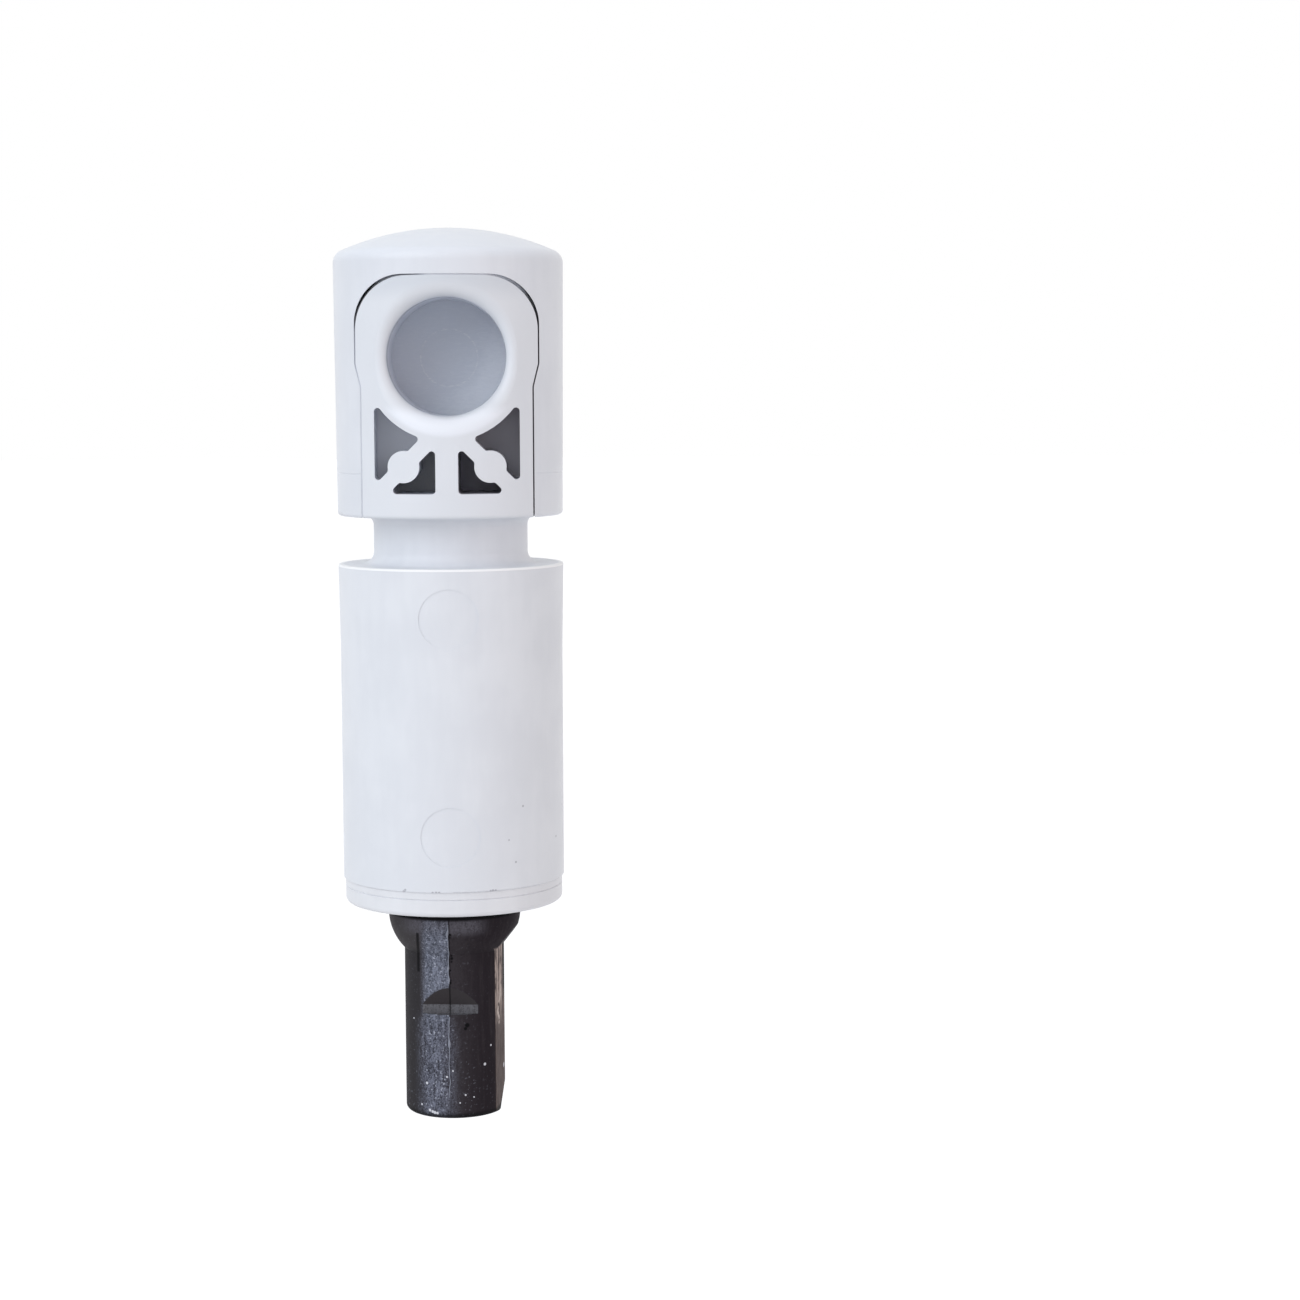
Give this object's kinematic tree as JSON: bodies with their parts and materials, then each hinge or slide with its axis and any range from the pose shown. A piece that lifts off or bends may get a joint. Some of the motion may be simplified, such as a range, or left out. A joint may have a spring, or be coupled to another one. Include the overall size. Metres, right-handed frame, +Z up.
{
  "type": "soft close damper",
  "caption": "Rotary soft close damper: white barrel with a cored-out head and blind pin socket under a domed snap cover, and a black D-shaft that turns slowly in oil.",
  "frame": {"origin": "where the pin socket's axis crosses the damper's own axis", "axes": "+Z up along the damper's axis towards the dome, -Y out of the pin socket's mouth, +X to the right of someone facing the socket"},
  "size_m": [0.0206, 0.0206, 0.08],
  "materials": {
    "white_housing": "satin moulded white",
    "white_cover": "satin moulded white",
    "white_cap": "satin moulded white",
    "black_shaft": "grainy glass-filled black",
    "valve_plastic": "natural moulded",
    "seal_rubber": "matt black",
    "washer_plastic": "natural moulded"
  },
  "bodies": {
    "housing": {"housing": "white_housing", "head_cover": "white_cover", "end_cap": "white_cap", "cap_seal": "seal_rubber", "thrust_washer": "washer_plastic"},
    "rotor": {"rotor_shaft": "black_shaft", "shaft_seal": "seal_rubber"},
    "valve_right": {"vane_valve_right": "valve_plastic"},
    "valve_left": {"vane_valve_left": "valve_plastic"}
  },
  "joints": [
    {"name": "shaft_turn", "type": "hinge", "parent": "housing", "child": "rotor", "pos_m": [0, 0, -0.05], "axis": [0, 0, 1], "range_deg": [0, 110]},
    {"name": "valve_right_float", "type": "hinge", "parent": "rotor", "child": "valve_right", "pos_m": [0, 0, -0.033], "axis": [0, 0, 1], "range_deg": [-1.4, 1.4]},
    {"name": "valve_left_float", "type": "hinge", "parent": "rotor", "child": "valve_left", "pos_m": [0, 0, -0.033], "axis": [0, 0, 1], "range_deg": [-1.4, 1.4]}
  ]
}
